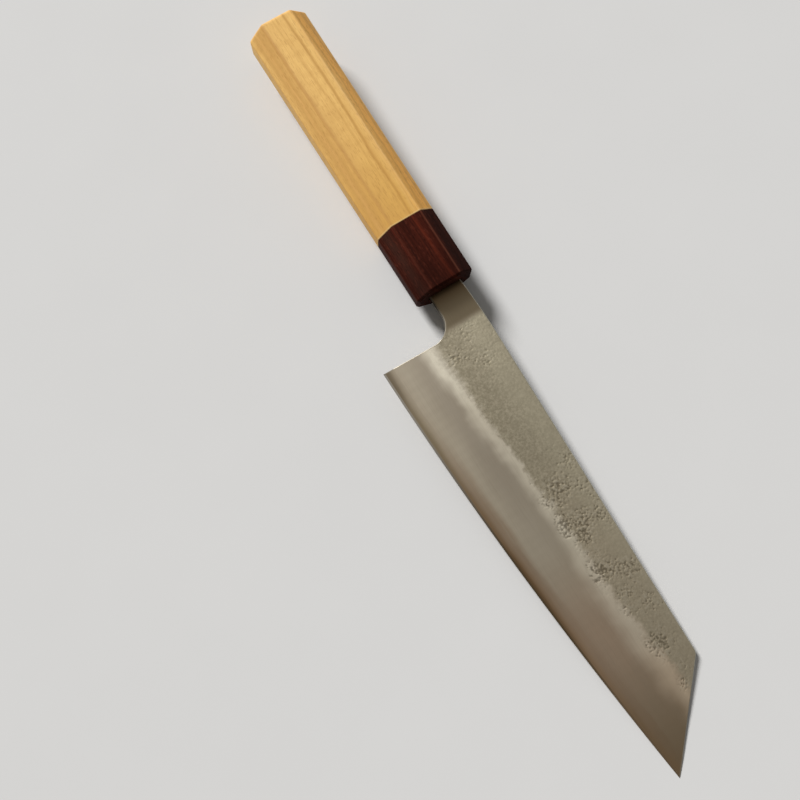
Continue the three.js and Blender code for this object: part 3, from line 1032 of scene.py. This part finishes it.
def cladding_steel_material():
    made, graph, shader, place = new_material("cladding_steel", STEEL_SETTINGS)
    finish = use(graph, STEEL_FINISH, {"Place": place, "Scratch Size": 1.0, "Seed": 2.0})
    along = graph.split(place)[0]
    height = noted(graph, "above_edge")
    rim = noted(graph, "rim")
    pits = noted(graph, "pits")

    # Zones: the forged blade in front of the neck, its skin above a ragged line, and the band below that
    broad = graph.noise(place, scale=0.12, seed=4.0)
    fine = graph.noise(place, scale=0.55, detail=4.0, roughness=0.7, seed=5.0)
    soft_line = graph.sway(noted(graph, "above_skin_line"), broad, 6.0)
    ragged = graph.sway(soft_line, fine, 6.0)
    forged = graph.ramp(along, NECK_BLEND - 0.8, NECK_BLEND + 2.5)
    skin = graph.times(graph.ramp(ragged, -1.2, 1.4), forged)
    fade_from = graph.ramp(along, 22.0, 45.0, -4.0, -1.4)
    fade_to = graph.ramp(along, 22.0, 45.0, 3.2, 1.8)
    lower = graph.plus(graph.ramp(along, 20.0, 45.0, -8.0, -6.6), graph.ramp(along, 85.0, 130.0, 0.0, -3.6))
    band = graph.times(graph.ramp(soft_line, lower, -1.4), graph.ramp(ragged, fade_from, fade_to, 1.0, 0.0))
    band = graph.times(band, forged)

    # Skin over the ground bevel, and over both the band, a blended zone whose pale tone is a painted
    # highlight along the ridge
    speckled = graph.wash((172, 162, 138), (200, 189, 164), finish["Grain"], 0.35, 0.65)
    speckled = graph.wash(speckled, (160, 149, 126), fine, 0.36, 0.64, 0.4)
    speckled = graph.wash(speckled, (212, 197, 170), along, 60.0, 120.0, 0.5)
    speckled = graph.wash(speckled, (214, 205, 178), height, 29.0, 40.0, 0.4)
    base = graph.tint(skin, ground_steel_with_painted_falloff(graph, along, height, finish), speckled)
    band_highlight_tone = graph.wash((246, 238, 218), (230, 221, 200), along, 24.0, 50.0)
    band_highlight_tone = graph.wash(band_highlight_tone, (230, 211, 184), along, 140.0, 168.0)
    base = graph.dab(base, band_highlight_tone, band, graph.ramp(along, 20.0, 60.0, 0.95, 0.68))
    base = graph.dab(base, (224, 214, 192), noted(graph, "worn"), 0.4)

    # The neck, brown and darker towards the ferrule: painted shade and a painted brown reflection of the
    # ferrule. Then what lies over all: scratches, rims and dark pits
    neck = graph.wash((122, 98, 68), (186, 168, 138), along, -1.0, 12.0)
    base = graph.tint(forged, neck, base)
    base = graph.wash(base, (150, 138, 118), finish["Scratches"], 0.45, 0.75, 0.16)
    # Rims: painted shade under the neck, and a painted highlight in the pale spine tone
    base = graph.tint(rim, base, steel_rim_with_painted_shade(graph, place, (188, 178, 160), (232, 226, 206)))
    base = graph.dab(base, (88, 77, 60), pits, 0.7)
    rough = graph.mix(skin, 0.5, 0.52)
    rough = graph.mix(band, rough, 0.58)
    rough = graph.mix(forged, 0.3, rough)
    rough = graph.mix(rim, rough, 0.5)
    rough = graph.mix(pits, rough, 0.72)
    relief = graph.times(finish["Grain"], graph.math("MULTIPLY_ADD", skin, 0.9, 0.05))
    relief = graph.math("MULTIPLY_ADD", finish["Scratches"], 0.1, relief)
    finish_shader(graph, shader, base, rough, relief, strength=0.4, distance=0.08)
    return made


def core_steel_material():
    made, graph, shader, place = new_material("core_steel", STEEL_SETTINGS)
    finish = use(graph, STEEL_FINISH, {"Place": place, "Scratch Size": 1.4, "Seed": 9.0})
    along = graph.split(place)[0]
    height = noted(graph, "above_edge")
    wavy = graph.sway(height, finish["Clouding"], 2.5)

    # Browned hard steel, whose tone changes from the heel to the point
    brown = (118, 102, 78)
    browns = [((160, 142, 110), 18.0, 45.0), ((167, 135, 99), 45.0, 90.0), ((160, 126, 88), 90.0, 105.0),
              ((176, 145, 112), 112.0, 148.0), ((160, 133, 101), 148.0, 175.0)]
    for tone, start, end in browns:
        brown = graph.wash(brown, tone, along, start, end)
    reach = graph.plus(graph.ramp(along, 24.0, 80.0, 5.2, 3.4), graph.ramp(along, 90.0, 105.0, 0.0, 0.6))
    browned = graph.ramp(wavy, 0.9, reach, 0.75, 0.0)
    base = graph.tint(browned, ground_steel_with_painted_falloff(graph, along, height, finish), brown)
    base = graph.wash(base, (140, 120, 96), finish["Scratches"], 0.45, 0.75, 0.2)
    # Painted shade just above the cutting edge, in the middle stretch of the blade
    shade = graph.times(graph.ramp(height, 0.8, 2.2, 0.5, 0.0), graph.ramp(along, 82.0, 104.0))
    base = graph.dab(base, (112, 86, 56), shade, graph.ramp(along, 128.0, 158.0, 1.0, 0.0))

    # The last bevel at the cutting edge, whose tone is painted: a highlight near the heel and shade further
    # along. And the rims, with painted shade under the neck
    edge = graph.ramp(height, 0.6, 0.9, 1.0, 0.0)
    edge_light_and_shade_tone = graph.wash((240, 230, 214), (144, 122, 92), along, 25.0, 105.0)
    edge_light_and_shade_tone = graph.wash(edge_light_and_shade_tone, (180, 154, 122), along, 125.0, 170.0)
    base = graph.tint(edge, base, edge_light_and_shade_tone)
    rim_tone = steel_rim_with_painted_shade(graph, place, (184, 174, 156), (184, 174, 156))
    base = graph.tint(noted(graph, "rim"), base, rim_tone)
    polish = graph.times(graph.ramp(wavy, 1.0, 3.8, 0.07, 0.0), graph.ramp(along, 110.0, 150.0, 1.0, 0.0))
    rough = graph.minus(graph.ramp(finish["Scratches"], 0.3, 0.7, 0.47, 0.53), polish)
    rough = graph.mix(edge, rough, 0.25)
    finish_shader(graph, shader, base, rough, finish["Scratches"], strength=0.08, distance=0.02)
    return made


# Pieces

pale_wood = pale_wood_material()
dark_wood = dark_wood_material()
dowel_wood = dowel_wood_material()
resin = resin_material()
cladding_steel = cladding_steel_material()
core_steel = core_steel_material()

PEAR_SKIN = pear_skin_tree()
TAPERED_OCTAGON = tapered_octagon_tree()

# The left face has the clusters of the right one turned end for end, and a seed of its own
left_clusters = [(POINT_X + LEFT_CLUSTER_SHIFT - x, *others) for x, *others in PIT_CLUSTERS]
claddings = [
    ("right_face", "right_cladding", 1, PIT_CLUSTERS, RIGHT_SEED),
    ("left_face", "left_cladding", -1, left_clusters, LEFT_SEED),
]
for name, node, side, clusters, seed in claddings:
    face = make_cladding(name, side, clusters)
    sizes = {"Pit Size": PIT_SIZE * MM, "Pit Depth": PIT_DEPTH * MM, "Grain Depth": GRAIN_DEPTH * MM,
             "Skin From X": ORIGIN.x + NECK_BLEND * MM, "Seed": seed, "Finish": cladding_steel}
    run_tree(face, PEAR_SKIN, sizes)
    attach(face, "root")
    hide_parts(node)

core = make_core("hard_core")
core.data.materials.append(core_steel)
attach(core, "root")
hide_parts("blade_core")


def octagon_sizes(x):
    """Height and width of the handle's octagon at x."""
    reach = x - JOINT_X
    return 2 * (collar_high.y + HEIGHT_SLOPE * reach), 2 * (collar_high.z + WIDTH_SLOPE * reach)


# Handle pieces: name, node, finish and its slot, rear and front x, the chamfers there, and the bore's ends
handle_pieces = [
    ("handle_wood", "handle_body", pale_wood, "pale_wood", (BUTT_X, JOINT_X), (BUTT_CHAMFER, JOINT_CHAMFER),
     (dowel_low.x - BORE_CLEARANCE, JOINT_X + CUTTER_OVERRUN)),
    ("ferrule_wood", "ferrule", dark_wood, "dark_wood", (JOINT_X, 0), (JOINT_CHAMFER, FRONT_CHAMFER),
     (JOINT_X - CUTTER_OVERRUN, dowel_high.x)),
]
for name, node, finish, slot, ends, chamfers, bore in handle_pieces:
    piece = new_object(name, bpy.data.meshes.new(name))
    corner = CORNER * octagon_sizes(ends[0])[0] / (2 * handle_high.y)
    sizes = {"Corner": corner, "Softness": CORNER_SOFTNESS, "Bore Radius": dowel_high.y + BORE_CLEARANCE,
             "Bore From": bore[0], "Bore To": bore[1]}
    for end, x, chamfer in zip(("Rear", "Front"), ends, chamfers):
        height, width = octagon_sizes(x)
        measures = {"X": x, "Height": height, "Width": width, "Chamfer": chamfer}
        sizes.update({f"{end} {measure}": size for measure, size in measures.items()})
    values = {label: size * MM for label, size in sizes.items()}
    run_tree(piece, TAPERED_OCTAGON, {**values, "Axis": ORIGIN, "Finish": finish})
    if node == "ferrule":
        cut_box(piece, Vector((SHOULDER_X - MORTISE_SPARE, bedding_low.y, bedding_low.z)),
                Vector((CUTTER_OVERRUN, bedding_high.y, bedding_high.z)))
    finish_all_over(piece, finish)
    smooth_sides(piece, HANDLE_SHARP_DEGREES)
    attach(piece, "root")
    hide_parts(node)

for node, finish in (("dowel", dowel_wood), ("tang_bedding", resin)):
    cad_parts[node].data.materials.clear()
    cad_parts[node].data.materials.append(finish)


# Floor, light and camera

def floor_material():
    made, graph, shader, place = new_material("pale_floor", {"Roughness": 0.9})
    speckle = graph.noise(place, scale=0.03, detail=3.0, seed=1.0)
    graph.feed(shader["Base Color"], graph.blend(speckle, *FLOOR_TONES))
    return made


# The knife rests on the ferrule's lower front edge and on its point, so the floor is tilted to touch both
bm = bmesh.new()
bmesh.ops.create_grid(bm, x_segments=2, y_segments=2, size=FLOOR_SIZE)
floor = mesh_object("floor", bm)
floor.data.materials.append(floor_material())
contact_x = -FRONT_CHAMFER
contact_drop = octagon_sizes(contact_x)[1] / 2
floor_tilt = math.atan2(contact_drop - EDGE_HALF, POINT_X - contact_x)
contact = in_frame(contact_x, 0, -contact_drop)
floor.matrix_world = Matrix.Translation(contact) @ Matrix.Rotation(-floor_tilt, 4, "Y")

world = bpy.data.worlds.new("studio")
world.use_nodes = True
world.node_tree.nodes["Background"].inputs["Color"].default_value = SKY_COLOUR
world.node_tree.nodes["Background"].inputs["Strength"].default_value = SKY_STRENGTH
bpy.context.scene.world = world

lamp = bpy.data.lights.new("key_lamp", "SUN")
lamp.angle = math.radians(SUN_WIDTH_DEGREES)
lamp.energy = SUN_STRENGTH
lamp_object = new_object("key_lamp", lamp)
lamp_object.location = Vector(SUN_FROM).normalized()
lamp_object.rotation_mode = "QUATERNION"
lamp_object.rotation_quaternion = lamp_object.location.to_track_quat("Z", "Y")

camera = bpy.data.cameras.new("camera")
camera.sensor_width = CAMERA_SENSOR
camera.lens = CAMERA_LENS
camera.clip_start = CAMERA_NEAR
camera_object = new_object("camera", camera)
camera_right = Vector(CAMERA_RIGHT).normalized()
camera_back = camera_right.cross(Vector(CAMERA_UP)).normalized()
camera_up = camera_back.cross(camera_right).normalized()
turn = Matrix((camera_right, camera_up, camera_back)).transposed().to_4x4()
camera_object.matrix_world = Matrix.Translation(in_frame(*CAMERA_PLACE)) @ turn
bpy.context.scene.camera = camera_object
bpy.context.scene.view_settings.view_transform = "Standard"
